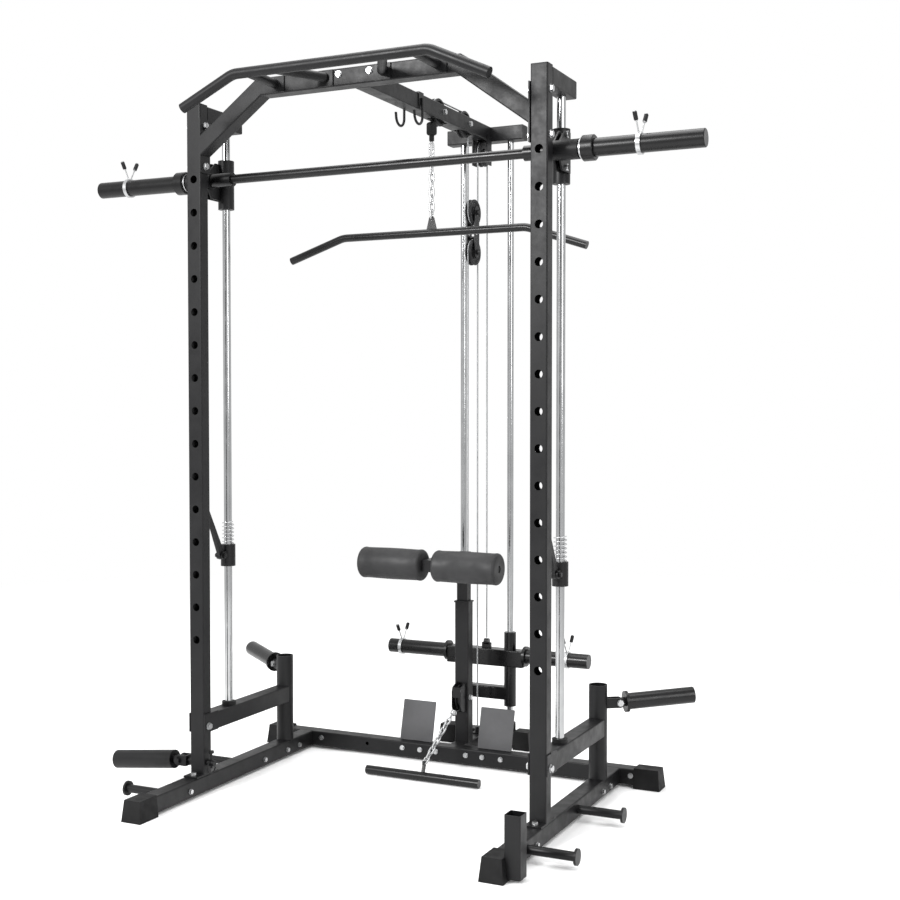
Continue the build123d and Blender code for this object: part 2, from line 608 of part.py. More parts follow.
block_mid_z = (BLOCK_UPPER_Z + BLOCK_LOWER_Z) / 2
block_span = BLOCK_UPPER_Z - BLOCK_LOWER_Z
with BuildPart() as floating_block:
    for side in SIDES:
        with BuildSketch(along_x(side * 12.0, BLOCK_Y, block_mid_z)):
            SlotOverall(block_span + 44, 36, rotation=90)
            Circle(10, mode=Mode.SUBTRACT)
        extrude(amount=side * 4.0)
        for pulley_z in (BLOCK_UPPER_Z, BLOCK_LOWER_Z):
            bolt_head(Plane(origin=(side * 16.0, BLOCK_Y, pulley_z), z_dir=(side, 0, 0)), 15.0, 6.0, 9.0)
    for pulley_z in (BLOCK_UPPER_Z, BLOCK_LOWER_Z):
        rod(along_x(-16, BLOCK_Y, pulley_z), AXLE_R, 32)
    for spacer_z in (block_mid_z + 18, block_mid_z - 18):
        rod(along_x(-12, BLOCK_Y, spacer_z), 5.0, 24)
save(floating_block, "floating_block")

with BuildPart() as block_cables:
    with BuildLine(Plane.YZ) as under_upper:
        CenterArc((BLOCK_Y, BLOCK_UPPER_Z), SHEAVE_R, 180, 180)
    wire_along(under_upper, CABLE_R)
    with BuildLine(Plane.YZ) as over_lower:
        CenterArc((BLOCK_Y, BLOCK_LOWER_Z), SHEAVE_R, 180, -180)
    wire_along(over_lower, CABLE_R)
save(block_cables, "block_cables")

# ---- weight carriage ----------------------------------------------------
GUIDE_Z = (146.0, 404.0)
with BuildPart() as carriage_frame:
    box_tube(along_x(-143, LAT_Y, CARRIAGE_BEAM_Z), TUBE, 58.0, 286)
    box_tube(along_x(-LAT_ROD_X, LAT_Y, CARRIAGE_LOWER_Z), 40.0, 44.0, 2 * LAT_ROD_X)
    for side in SIDES:
        rod(along_z(side * LAT_ROD_X, LAT_Y, GUIDE_Z[0]), 21.0, GUIDE_Z[1] - GUIDE_Z[0])
        rod(along_x(side * 143.0, LAT_Y, CARRIAGE_BEAM_Z + 9), 35.0, side * 10)
        rod(along_x(side * 153.0, LAT_Y, CARRIAGE_BEAM_Z + 9), SLEEVE_R, side * (CARRIAGE_HALF - 153))
    for side in SIDES:
        rod(along_z(side * LAT_ROD_X, LAT_Y, GUIDE_Z[0]), LAT_ROD_R + RUN_GAP,
            GUIDE_Z[1] - GUIDE_Z[0], Mode.SUBTRACT)
    slab(along_z(0, LAT_Y, CARRIAGE_BEAM_Z + 28), 34, 8, 20)
    rod(along_x(-8, LAT_Y, EYE_TOP - 13), 11.0, 16)
save(carriage_frame, "carriage_frame")

# ---- Smith machine ------------------------------------------------------
BEARING_Z = (1807.0, 1958.0)
BEARING_R = 25.0
HOUSING_X = (567.0, 642.0)
with BuildPart() as smith_carriages:
    for side in SIDES:
        rod(along_z(side * SIDE_X, ROD_Y, BEARING_Z[0]), BEARING_R, BEARING_Z[1] - BEARING_Z[0])
        rod(along_x(side * HOUSING_X[0], SMITH_Y, SMITH_Z), 27.5, side * (HOUSING_X[1] - HOUSING_X[0]))
        for plate_x in (HOUSING_X[0], SIDE_X + BEARING_R - 1):
            with BuildSketch(along_x(side * plate_x, 0, 0)):
                with BuildLine():
                    Polyline((SMITH_Y - 12, SMITH_Z - 20), (SMITH_Y + 10, SMITH_Z - 52),
                             (ROD_Y - 4, SMITH_Z - 52), (ROD_Y - 4, SMITH_Z + 60),
                             (SMITH_Y + 30, SMITH_Z + 60), (SMITH_Y - 12, SMITH_Z + 22), close=True)
                make_face()
            extrude(amount=side * PLATE)
        for bolt_z in (SMITH_Z - 40, SMITH_Z + 50):
            rod(along_x(side * HOUSING_X[0], SMITH_Y + 38, bolt_z), 5.0, side * 26)
            bolt_head(Plane(origin=(side * (SIDE_X + BEARING_R - 1 + PLATE), SMITH_Y + 38, bolt_z),
                            z_dir=(side, 0, 0)), 15.0, 6.0, 9.0)
    for side in SIDES:
        rod(along_z(side * SIDE_X, ROD_Y, BEARING_Z[0]), ROD_R + RUN_GAP,
            BEARING_Z[1] - BEARING_Z[0], Mode.SUBTRACT)
        rod(along_x(side * HOUSING_X[0], SMITH_Y, SMITH_Z), BAR_R + RUN_GAP,
            side * (HOUSING_X[1] - HOUSING_X[0]), Mode.SUBTRACT)
save(smith_carriages, "smith_carriages")

HUB = (482.0, 552.0)
HOOK_REACH = SMITH_Y - (UPRIGHT_Y + UPRIGHT_DEPTH / 2) - 1.5
with BuildPart() as smith_bar:
    with BuildSketch(along_z(0, SMITH_Y, SMITH_Z)):
        with BuildLine():
            Polyline((-SMITH_HALF, 0), (-SMITH_HALF, SLEEVE_R - 2), (2 - SMITH_HALF, SLEEVE_R),
                     (-686, SLEEVE_R), (-686, 33), (-684, 35), (-654, 35), (-652, 33), (-652, SLEEVE_R),
                     (-645, SLEEVE_R), (-645, BAR_R), (-HUB[1], BAR_R), (-HUB[1], 21), (-HUB[0], 21),
                     (-HUB[0], BAR_R), (HUB[0], BAR_R), (HUB[0], 21), (HUB[1], 21), (HUB[1], BAR_R),
                     (645, BAR_R), (645, SLEEVE_R), (652, SLEEVE_R), (652, 33), (654, 35), (684, 35),
                     (686, 33), (686, SLEEVE_R), (SMITH_HALF - 2, SLEEVE_R),
                     (SMITH_HALF, SLEEVE_R - 2), (SMITH_HALF, 0), close=True)
        make_face()
    revolve(axis=Axis((0, SMITH_Y, SMITH_Z), (1, 0, 0)))
save(smith_bar, "smith_bar")

with BuildPart() as smith_hooks:
    for side in SIDES:
        with BuildSketch(along_x(side * (SIDE_X - 4), SMITH_Y, SMITH_Z)):
            Circle(24)
            with BuildLine():
                Polyline((-8, -22), (-HOOK_REACH, -26), (-HOOK_REACH, -8), (-38, -12), (-22, 6),
                         (0, 0), close=True)
            make_face()
            Circle(BAR_R, mode=Mode.SUBTRACT)
        extrude(amount=side * 8.0)
save(smith_hooks, "smith_hooks")

# ---- safety stops -------------------------------------------------------
STOP_BLOCK_Z = (686.0, 754.0)
STOP_R = 23.0
STOP_PIVOT_Y = ROD_Y - 38.0
SPRING_R = 17.5
SPRING_WIRE = 1.6
SPRING_TOP = 828.0
for side, hand in zip(SIDES, ("left", "right")):
    with BuildPart() as safety_stop:
        rod(along_z(side * SIDE_X, ROD_Y, STOP_BLOCK_Z[0]), STOP_R, STOP_BLOCK_Z[1] - STOP_BLOCK_Z[0])
        for lug_x in (6.0, 14.0):
            for lug_side in (-1, 1):
                if lug_x > 6.0:
                    bolt_head(Plane(origin=(side * SIDE_X + lug_side * 11.0, STOP_PIVOT_Y, STOP_Z),
                                    z_dir=(lug_side, 0, 0)), 13.0, 6.0, 8.0)
                else:
                    with BuildSketch(along_x(side * SIDE_X + lug_side * 6.0, STOP_PIVOT_Y, STOP_Z)):
                        Circle(12)
                        with Locations((14, 0)):
                            Rectangle(28, 24)
                    extrude(amount=lug_side * 5.0)
        rod(along_x(side * SIDE_X - 11, STOP_PIVOT_Y, STOP_Z), 5.0, 22)
        rod(along_z(side * SIDE_X, ROD_Y, STOP_BLOCK_Z[0]), ROD_R + RUN_GAP,
            STOP_BLOCK_Z[1] - STOP_BLOCK_Z[0], Mode.SUBTRACT)
    save(safety_stop, f"safety_stop_{hand}")

    with BuildPart() as safety_hook:
        rise = STOP_HOLE_Z - STOP_Z
        reach = STOP_PIVOT_Y - (UPRIGHT_Y + UPRIGHT_DEPTH / 2) - 1.5
        with BuildSketch(along_x(side * SIDE_X - 5, STOP_PIVOT_Y, STOP_Z)):
            Circle(13)
            with BuildLine():
                Polyline((-13, 0), (-reach + 14, rise - 14), (-reach, rise - 10), (-reach, rise + 6),
                         (-reach + 16, rise + 4), (13, 4), (0, -8), close=True)
            make_face()
            Circle(5.0 + RUN_GAP, mode=Mode.SUBTRACT)
        extrude(amount=10.0)
    save(safety_hook, f"safety_hook_{hand}")

    with BuildPart() as safety_spring:
        coil_height = SPRING_TOP - STOP_BLOCK_Z[1] - 2 * SPRING_WIRE - 0.4
        with BuildLine(along_z(side * SIDE_X, ROD_Y, STOP_BLOCK_Z[1] + SPRING_WIRE + 0.2)) as coil:
            Helix(pitch=coil_height / 6, height=coil_height, radius=SPRING_R)
        wire_along(coil, SPRING_WIRE)
    save(safety_spring, f"safety_spring_{hand}")

# ---- spring clips -------------------------------------------------------
clips = {
    "clip_smith_left": (-876.0, SMITH_Y, SMITH_Z),
    "clip_smith_right": (811.0, SMITH_Y, SMITH_Z),
    "clip_carriage_left": (-332.0, LAT_Y, CARRIAGE_BEAM_Z + 9),
    "clip_carriage_right": (302.0, LAT_Y, CARRIAGE_BEAM_Z + 9),
}
CLIP_INNER = SLEEVE_R + 0.35
for name, (clip_x, clip_y, clip_z) in clips.items():
    with BuildPart() as clip:
        pipe(along_x(clip_x - 6, clip_y, clip_z), CLIP_INNER + 4, CLIP_INNER, 12)
        for turn in SIDES:
            with BuildLine() as handle:
                Line((clip_x + 4 * turn, clip_y, clip_z + CLIP_INNER + 2),
                     (clip_x + 8 * turn, clip_y + 24 * turn, clip_z + 76))
            wire_along(handle, 2.0)
            with BuildLine() as grip:
                Line((clip_x + 6.5 * turn, clip_y + 15 * turn, clip_z + 57.5),
                     (clip_x + 8.5 * turn, clip_y + 27 * turn, clip_z + 82))
            wire_along(grip, 4.5)
    save(clip, name)

# ---- lat bar, chain and ball stop ---------------------------------------
SHACKLE_Z = 2000.0
CHAIN_LINKS = 8
LAT_TAB = SHACKLE_Z - 28.0 + 4.0 + 3.3 - 2 * LINK_HALF - LINK_PITCH * (CHAIN_LINKS - 1) - LAT_BAR_Z
with BuildPart() as lat_bar:
    with BuildLine(Plane(origin=(0, CABLE_FRONT_Y, 0), x_dir=(1, 0, 0), z_dir=(0, -1, 0))) as lat_path:
        FilletPolyline((-522, 1676), (-324, LAT_BAR_Z), (324, LAT_BAR_Z), (522, 1676), radius=90)
    wire_along(lat_path, 12.5)
    with BuildSketch(along_y(0, CABLE_FRONT_Y - 3, LAT_BAR_Z)):
        with BuildLine():
            Polyline((-20, 0), (20, 0), (9, -LAT_TAB), (-9, -LAT_TAB), close=True)
        make_face()
        with Locations((0, -LAT_TAB)):
            Circle(9)
            Circle(4.6, mode=Mode.SUBTRACT)
    extrude(amount=6)
save(lat_bar, "lat_bar")

SHACKLE_TOP = SHACKLE_Z + 17.0 + 11.0 + 4.0
with BuildPart() as ball_stop:
    rod(along_z(0, CABLE_FRONT_Y, BALL_BOTTOM), CABLE_R, FRONT_PULLEY[1] - BALL_BOTTOM)
    rod(along_z(0, CABLE_FRONT_Y, BALL_BOTTOM), 16.5, BALL_TOP - BALL_BOTTOM)
    rod(along_z(0, CABLE_FRONT_Y, SHACKLE_TOP + 0.5), 8.0, BALL_BOTTOM - SHACKLE_TOP)
    fillet(ball_stop.edges().filter_by(GeomType.CIRCLE).group_by(SortBy.RADIUS)[-1], 7.0)
save(ball_stop, "ball_stop")

with BuildPart() as lat_chain:
    chain_link(Plane(origin=(0, CABLE_FRONT_Y, SHACKLE_Z), x_dir=(0, 0, 1), z_dir=(1, 0, 0)),
               wire=4.0, half=17.0, bend=11.0)
    for index in range(CHAIN_LINKS):
        face = (0, 1, 0) if index % 2 == 0 else (1, 0, 0)
        link_z = SHACKLE_Z - 28.0 + 4.0 + 3.3 - LINK_HALF - LINK_PITCH * index
        chain_link(Plane(origin=(0, CABLE_FRONT_Y, link_z), x_dir=(0, 0, 1), z_dir=face))
save(lat_chain, "lat_chain")

# ---- low row bar --------------------------------------------------------
LOW_BAR_Y = 102.0
LOW_BAR_R = 14.0
LOW_HOOK = (330.0, 169.0)
LOW_TAB_TOP = (118.0, 52.0)
with BuildPart() as low_bar:
    rod(along_x(-199, LOW_BAR_Y, LOW_BAR_R + 1), LOW_BAR_R, 398)
    with BuildSketch(along_x(-3, 0, 0)):
        with BuildLine():
            Polyline((LOW_BAR_Y - 4, 22), (LOW_BAR_Y + 12, 10), (LOW_TAB_TOP[0] + 7, LOW_TAB_TOP[1] - 6),
                     (LOW_TAB_TOP[0] - 8, LOW_TAB_TOP[1] - 2),
                     close=True)
        make_face()
        with Locations(LOW_TAB_TOP):
            Circle(9)
            Circle(4.6, mode=Mode.SUBTRACT)
    extrude(amount=6)
save(low_bar, "low_bar")

low_run = (LOW_HOOK[0] - 16 - LOW_TAB_TOP[0], LOW_HOOK[1] - 8 - LOW_TAB_TOP[1])
low_length = math.hypot(*low_run)
low_links = int(low_length // LINK_PITCH)
with BuildPart() as low_chain:
    with Locations((0, LOW_HOOK[0] + 8, LOW_HOOK[1])):
        Sphere(11)
    for index in range(low_links):
        share = (LINK_HALF - 0.3 + index * LINK_PITCH) / low_length
        face = (0, -low_run[1] / low_length, low_run[0] / low_length) if index % 2 == 0 else (1, 0, 0)
        chain_link(Plane(origin=(0, LOW_TAB_TOP[0] + share * low_run[0], LOW_TAB_TOP[1] + share * low_run[1]),
                         x_dir=(0, low_run[0] / low_length, low_run[1] / low_length), z_dir=face))
    with BuildLine() as last_hook:
        Line((0, LOW_TAB_TOP[0] + (low_links + 0.25) * LINK_PITCH * low_run[0] / low_length,
              LOW_TAB_TOP[1] + (low_links + 0.25) * LINK_PITCH * low_run[1] / low_length),
             (0, LOW_HOOK[0] + 8, LOW_HOOK[1]))
    wire_along(last_hook, 4.0)
save(low_chain, "low_chain")

# ---- leg rollers --------------------------------------------------------
ARM_TIP_Y = ROLLER_Y - 19.0
POST_LOW_Z = 400.0
with BuildPart() as roller_post:
    slab(along_z(0, COLUMN_Y, POST_LOW_Z), ARM_W, ARM_D, ROLLER_Z + 19 - POST_LOW_Z)
    slab(along_y(0, ARM_TIP_Y, ROLLER_Z), ARM_W, ARM_W, COLUMN_Y + ARM_D / 2 - ARM_TIP_Y)
    rod(along_x(-ROLLER_OUTER + 4, ROLLER_Y, ROLLER_Z), 11.0, 2 * ROLLER_OUTER - 8)
save(roller_post, "roller_post")

for side, hand in zip(SIDES, ("left", "right")):
    with BuildPart() as leg_roller:
        with BuildSketch(along_x(side * ROLLER_INNER, ROLLER_Y, ROLLER_Z)):
            Circle(ROLLER_R)
            Circle(11.0 + RUN_GAP, mode=Mode.SUBTRACT)
        extrude(amount=side * (ROLLER_OUTER - ROLLER_INNER))
        fillet(leg_roller.edges().filter_by(GeomType.CIRCLE).group_by(SortBy.RADIUS)[-1], 6.0)
    save(leg_roller, f"leg_roller_{hand}")

# ---- landmine -----------------------------------------------------------
LANDMINE_PIVOT_X = -634.0
LANDMINE_DROOP = 6.5
with BuildPart() as landmine_swivel:
    rod(along_x(LANDMINE_PIVOT_X + 14, UPRIGHT_Y, LANDMINE_Z), LANDMINE_SHAFT_R,
        -inner_x + 26 - LANDMINE_PIVOT_X - 14)
    rod(along_x(-SIDE_X - TUBE / 2 - 7, UPRIGHT_Y, LANDMINE_Z), 16.0, 6)
    for ear in SIDES:
        with BuildSketch(along_y(0, UPRIGHT_Y + ear * 13.0, LANDMINE_Z)):
            with Locations((LANDMINE_PIVOT_X, 0)):
                Circle(16)
            with Locations((LANDMINE_PIVOT_X + 12, 0)):
                Rectangle(24, 32)
        extrude(amount=ear * 5.0)
    slab(along_x(LANDMINE_PIVOT_X + 24, UPRIGHT_Y, LANDMINE_Z), 36, 32, 6)
    rod(along_y(LANDMINE_PIVOT_X, UPRIGHT_Y - 18, LANDMINE_Z), 6.0, 36)
    bolt_head(Plane(origin=(LANDMINE_PIVOT_X, UPRIGHT_Y - 18, LANDMINE_Z), z_dir=(0, -1, 0)), 17.0, 6.5, 11.0)
    with BuildLine(along_x(-inner_x + 14, UPRIGHT_Y, LANDMINE_Z)) as ring:
        CenterArc((0, -12), 20.0, 0, 350)
    wire_along(ring, 1.8)
    rod(along_z(-inner_x + 14, UPRIGHT_Y, LANDMINE_Z - 16), 3.0, 50)
    rod(along_z(-inner_x + 14, UPRIGHT_Y, LANDMINE_Z + 30), 8.0, 8)
save(landmine_swivel, "landmine_swivel")

droop = math.radians(LANDMINE_DROOP)
arm_dir = (-math.cos(droop), 0, -math.sin(droop))


def on_arm(distance):
    """Point on the landmine tube's centreline, measured from its pivot."""
    return (LANDMINE_PIVOT_X + distance * arm_dir[0], UPRIGHT_Y, LANDMINE_Z + distance * arm_dir[2])


with BuildPart() as landmine_tube:
    rod(Plane(origin=on_arm(24), x_dir=(0, 1, 0), z_dir=arm_dir), 28.5, 224)
    rod(Plane(origin=on_arm(44), x_dir=(0, 1, 0), z_dir=arm_dir), 25.5, 204, Mode.SUBTRACT)
    with BuildSketch(along_y(0, UPRIGHT_Y - 12.5, LANDMINE_Z)):
        with Locations((LANDMINE_PIVOT_X, 0)):
            Circle(14)
        with Locations((LANDMINE_PIVOT_X - 15, 1.5)):
            Rectangle(32, 22)
    extrude(amount=25)
    rod(along_y(LANDMINE_PIVOT_X, UPRIGHT_Y - 20, LANDMINE_Z), 6.0 + RUN_GAP, 40, Mode.SUBTRACT)
save(landmine_tube, "landmine_tube")

# ---- plate holders on the rear posts ------------------------------------
with BuildPart() as plate_holders:
    for side, pivot_z in zip(SIDES, HOLDER_Z):
        across, arm = holder_frame(side, HOLDER_TILT)
        pivot = holder_pivot(side, pivot_z)
        rod(Plane(origin=shifted(pivot, arm, HOLDER_FLANGE - HOLDER_PIVOT - 4), z_dir=arm), 32.5, 9)
        rod(Plane(origin=shifted(pivot, arm, HOLDER_FLANGE - HOLDER_PIVOT + 4), z_dir=arm), SLEEVE_R,
            HOLDER_TIP - HOLDER_FLANGE - 4)
        with BuildSketch(Plane(origin=shifted(pivot, across, -8.5), x_dir=arm, z_dir=across)):
            Circle(13)
            with Locations((12, 0)):
                Rectangle(24, 24)
        extrude(amount=17)
        rod(Plane(origin=shifted(pivot, across, -20), z_dir=across), 6.0 + RUN_GAP, 40, Mode.SUBTRACT)
save(plate_holders, "plate_holders")
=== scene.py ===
"""Looks of the power cage: materials, soft pieces, cables, light and camera."""

import json
import math

import bmesh
import bpy
from mathutils import Matrix, Vector


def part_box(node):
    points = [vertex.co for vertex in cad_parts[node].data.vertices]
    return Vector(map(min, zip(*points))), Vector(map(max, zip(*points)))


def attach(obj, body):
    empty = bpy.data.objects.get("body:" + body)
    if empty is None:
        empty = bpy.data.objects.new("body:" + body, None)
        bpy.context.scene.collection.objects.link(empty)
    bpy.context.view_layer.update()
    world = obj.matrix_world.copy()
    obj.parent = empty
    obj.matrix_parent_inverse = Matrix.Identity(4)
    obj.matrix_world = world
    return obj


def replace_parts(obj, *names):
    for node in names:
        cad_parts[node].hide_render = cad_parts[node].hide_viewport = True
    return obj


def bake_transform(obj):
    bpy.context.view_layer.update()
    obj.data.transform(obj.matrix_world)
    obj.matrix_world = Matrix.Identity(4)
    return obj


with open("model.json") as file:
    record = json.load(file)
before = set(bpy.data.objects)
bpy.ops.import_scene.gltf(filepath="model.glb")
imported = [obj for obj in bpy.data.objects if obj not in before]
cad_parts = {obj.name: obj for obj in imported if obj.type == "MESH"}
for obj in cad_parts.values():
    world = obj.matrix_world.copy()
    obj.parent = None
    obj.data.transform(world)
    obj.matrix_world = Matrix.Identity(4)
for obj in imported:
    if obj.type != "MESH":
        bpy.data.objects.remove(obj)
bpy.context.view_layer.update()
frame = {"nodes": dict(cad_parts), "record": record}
record = frame["record"]
scene = bpy.context.scene

ROPE_R = 0.0025          # cables are 5 mm thick
ROPE_STEPS = 20
TURNED_STEPS = 64        # faces round a turned piece
SMALL_STEPS = 32         # the same for grips and nuts
FOAM_STEPS = 96


# ---- materials ----------------------------------------------------------
def material(name, color, metallic, roughness):
    mat = bpy.data.materials.new(name)
    mat.use_nodes = True
    shader = mat.node_tree.nodes["Principled BSDF"]
    shader.inputs["Base Color"].default_value = (*color, 1)
    shader.inputs["Metallic"].default_value = metallic
    shader.inputs["Roughness"].default_value = roughness
    return mat, mat.node_tree, shader


def noise(tree, scale, detail=4.0, roughness=0.5, stretch=(1, 1, 1)):
    coords = tree.nodes.new("ShaderNodeTexCoord")
    mapping = tree.nodes.new("ShaderNodeMapping")
    mapping.inputs["Scale"].default_value = stretch
    tex = tree.nodes.new("ShaderNodeTexNoise")
    tex.inputs["Scale"].default_value = scale
    tex.inputs["Detail"].default_value = detail
    tex.inputs["Roughness"].default_value = roughness
    tree.links.new(coords.outputs["Object"], mapping.inputs["Vector"])
    tree.links.new(mapping.outputs["Vector"], tex.inputs["Vector"])
    return tex.outputs["Fac"]


def ramp(tree, source, low, high, start=0.35, end=0.65):
    """Maps a 0..1 pattern onto the span from low to high."""
    node = tree.nodes.new("ShaderNodeMapRange")
    node.inputs["From Min"].default_value = start
    node.inputs["From Max"].default_value = end
    node.inputs["To Min"].default_value = low
    node.inputs["To Max"].default_value = high
    tree.links.new(source, node.inputs["Value"])
    return node.outputs["Result"]


def mix_color(tree, fac, a, b):
    node = tree.nodes.new("ShaderNodeMix")
    node.data_type = "RGBA"
    node.inputs["A"].default_value = (*a, 1)
    node.inputs["B"].default_value = (*b, 1)
    tree.links.new(fac, node.inputs["Factor"])
    return node.outputs["Result"]


def bump(tree, shader, height, strength, distance):
    node = tree.nodes.new("ShaderNodeBump")
    node.inputs["Strength"].default_value = strength
    node.inputs["Distance"].default_value = distance
    tree.links.new(height, node.inputs["Height"])
    tree.links.new(node.outputs["Normal"], shader.inputs["Normal"])


def powder_coat(name, color, dusty, rough=(0.36, 0.5), specular=0.24):
    """Powder coat: orange-peel grain, faint dust and rub marks."""
    mat, tree, shader = material(name, color, 0.0, 0.42)
    large = noise(tree, 5.0, 5.0, 0.6)
    tree.links.new(mix_color(tree, ramp(tree, large, 0, 1), color, dusty),
                   shader.inputs["Base Color"])
    tree.links.new(ramp(tree, noise(tree, 22.0, 6.0, 0.65), *rough), shader.inputs["Roughness"])
    bump(tree, shader, noise(tree, 900.0, 2.0, 0.4), 0.16, 0.0004)
    shader.inputs["Specular IOR Level"].default_value = specular
    return mat


def plated(name, color, rough, grain):
    """Plated or polished steel with fine drawn lines along grain."""
    mat, tree, shader = material(name, color, 1.0, rough[0])
    lines = noise(tree, 60.0, 5.0, 0.6, grain)
    tree.links.new(ramp(tree, lines, *rough), shader.inputs["Roughness"])
    tone = tuple(0.86 * c for c in color)
    tree.links.new(mix_color(tree, ramp(tree, noise(tree, 14.0, 3.0), 0, 1), color, tone),
                   shader.inputs["Base Color"])
    bump(tree, shader, lines, 0.012, 0.0002)
    return mat


def moulded(name, color, rough, grain_scale, strength):
    """Moulded rubber or plastic with a fine grain."""
    mat, tree, shader = material(name, color, 0.0, rough[0])
    tree.links.new(ramp(tree, noise(tree, 30.0, 5.0), *rough), shader.inputs["Roughness"])
    shader.inputs["Specular IOR Level"].default_value = 0.22
    lighter = tuple(1.6 * c for c in color)
    tree.links.new(mix_color(tree, ramp(tree, noise(tree, 9.0, 4.0), 0, 1), color, lighter),
                   shader.inputs["Base Color"])
    bump(tree, shader, noise(tree, grain_scale, 2.0), strength, 0.0006)
    return mat


def foam():
    """Closed-cell foam sleeve: skin with small open cells."""
    mat, tree, shader = material("foam", (0.008, 0.008, 0.0085), 0.0, 0.62)
    coords = tree.nodes.new("ShaderNodeTexCoord")
    cells = tree.nodes.new("ShaderNodeTexVoronoi")
    cells.inputs["Scale"].default_value = 420.0
    tree.links.new(coords.outputs["Object"], cells.inputs["Vector"])
    tree.links.new(ramp(tree, noise(tree, 18.0, 5.0), 0.5, 0.72), shader.inputs["Roughness"])
    mottled = ramp(tree, noise(tree, 7.0, 5.0), 0, 1)
    tree.links.new(mix_color(tree, mottled, (0.006, 0.006, 0.0065), (0.013, 0.013, 0.014)),
                   shader.inputs["Base Color"])
    bump(tree, shader, cells.outputs["Distance"], 0.22, 0.0008)
    return mat


def wire_rope():
    """Wire rope: the strands show as fine slanted bands, with painted shade in the grooves
    between them.
    """
    mat, tree, shader = material("wire_rope", (0.48, 0.49, 0.50), 0.85, 0.34)
    coords = tree.nodes.new("ShaderNodeTexCoord")
    mapping = tree.nodes.new("ShaderNodeMapping")
    mapping.inputs["Rotation"].default_value = (0.6, 0.0, 0.3)
    wave = tree.nodes.new("ShaderNodeTexWave")
    wave.bands_direction = "Z"
    wave.inputs["Scale"].default_value = 140.0
    wave.inputs["Distortion"].default_value = 0.5
    tree.links.new(coords.outputs["Object"], mapping.inputs["Vector"])
    tree.links.new(mapping.outputs["Vector"], wave.inputs["Vector"])
    # Painted shade: the base colour is darker in the grooves between the strands, where the bump
    # is low.
    strands = mix_color(tree, wave.outputs["Fac"], (0.16, 0.165, 0.17), (0.38, 0.385, 0.39))
    tree.links.new(strands, shader.inputs["Base Color"])
    tree.links.new(ramp(tree, wave.outputs["Fac"], 0.28, 0.45, 0, 1), shader.inputs["Roughness"])
    bump(tree, shader, wave.outputs["Fac"], 0.5, 0.0006)
    return mat


BLACK = powder_coat("powder_black", (0.0035, 0.0035, 0.004), (0.007, 0.007, 0.0075))
GLOSS = powder_coat("gloss_black", (0.0015, 0.0015, 0.0017), (0.003, 0.003, 0.0033),
                    (0.24, 0.34), 0.3)
GREY = powder_coat("powder_grey", (0.050, 0.050, 0.052), (0.075, 0.075, 0.078), (0.42, 0.56))
CHROME = plated("chrome_rod", (0.40, 0.405, 0.41), (0.10, 0.22), (1, 1, 0.02))
ZINC = plated("zinc_plate", (0.50, 0.505, 0.51), (0.22, 0.4), (1, 1, 1))
RUBBER = moulded("rubber_foot", (0.003, 0.003, 0.0032), (0.55, 0.75), 700.0, 0.35)
PLASTIC = moulded("nylon", (0.006, 0.006, 0.0065), (0.38, 0.55), 900.0, 0.2)
FOAM = foam()
ROPE = wire_rope()
LOOKS = {"black": BLACK, "plate_grey": GREY, "chrome": CHROME, "zinc": ZINC, "cable": ROPE,
         "rubber": RUBBER, "plastic": PLASTIC, "foam": FOAM}

for part in record["subparts"]:
    node = frame["nodes"][part["node"]]
    node.data.materials.clear()
    node.data.materials.append(LOOKS[part["material_slot"]])

GLOSSY_NODES = ("smith_bar", "plate_holders", "carriage_frame", "lat_bar", "low_bar")
for name in GLOSSY_NODES:
    frame["nodes"][name].data.materials[0] = GLOSS


# ---- shape helpers ------------------------------------------------------
def finish_piece(name, mesh, mat, smooth_angle=35):
    mesh.normal_update()
    data = bpy.data.meshes.new(name)
    mesh.to_mesh(data)
    mesh.free()
    data.materials.append(mat)
    obj = bpy.data.objects.new(name, data)
    scene.collection.objects.link(obj)
    data.shade_smooth()
    data.set_sharp_from_angle(angle=math.radians(smooth_angle))
    return obj


def lathe(name, origin, axis, profile, mat, steps=TURNED_STEPS):
    """Turned piece: profile is (distance along axis, radius) pairs."""
    turn = Vector((0, 0, 1)).rotation_difference(Vector(axis)).to_matrix().to_4x4()
    place = Matrix.Translation(Vector(origin)) @ turn
    mesh = bmesh.new()
    angles = [2 * math.pi * k / steps for k in range(steps)]
    rings = []
    for along, radius in profile:
        around = [Vector((radius * math.cos(a), radius * math.sin(a), along)) for a in angles]
        rings.append([mesh.verts.new(place @ point) for point in around])
    for low, high in zip(rings, rings[1:]):
        for k in range(steps):
            after = (k + 1) % steps
            mesh.faces.new((low[k], low[after], high[after], high[k]))
    return finish_piece(name, mesh, mat)


def straight_cable(name, start, end):
    """One ring at each end, so that the run stretches evenly."""
    direction = Vector(end) - Vector(start)
    profile = [(0, ROPE_R), (direction.length, ROPE_R)]
    return lathe(name, start, direction.normalized(), profile, ROPE, ROPE_STEPS)


# ---- cable runs between the frame and the moving parts ------------------
def run_from_box(name, low_body, high_body, parent, child):
    """Vertical run that stands for the solid one of the same name."""
    low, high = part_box(name)
    x = (low.x + high.x) / 2
    y = (low.y + high.y) / 2
    ends = {low_body: (x, y, low.z), high_body: (x, y, high.z)}
    cable = straight_cable(name + "_rope", ends[parent], ends[child])
    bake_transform(cable)
    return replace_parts(cable, name)


run_from_box("cable_run_middle", "block", "frame", "frame", "block")
run_from_box("cable_run_rear", "block", "frame", "frame", "block")
run_from_box("cable_run_carriage", "weight_carriage", "frame", "frame", "weight_carriage")

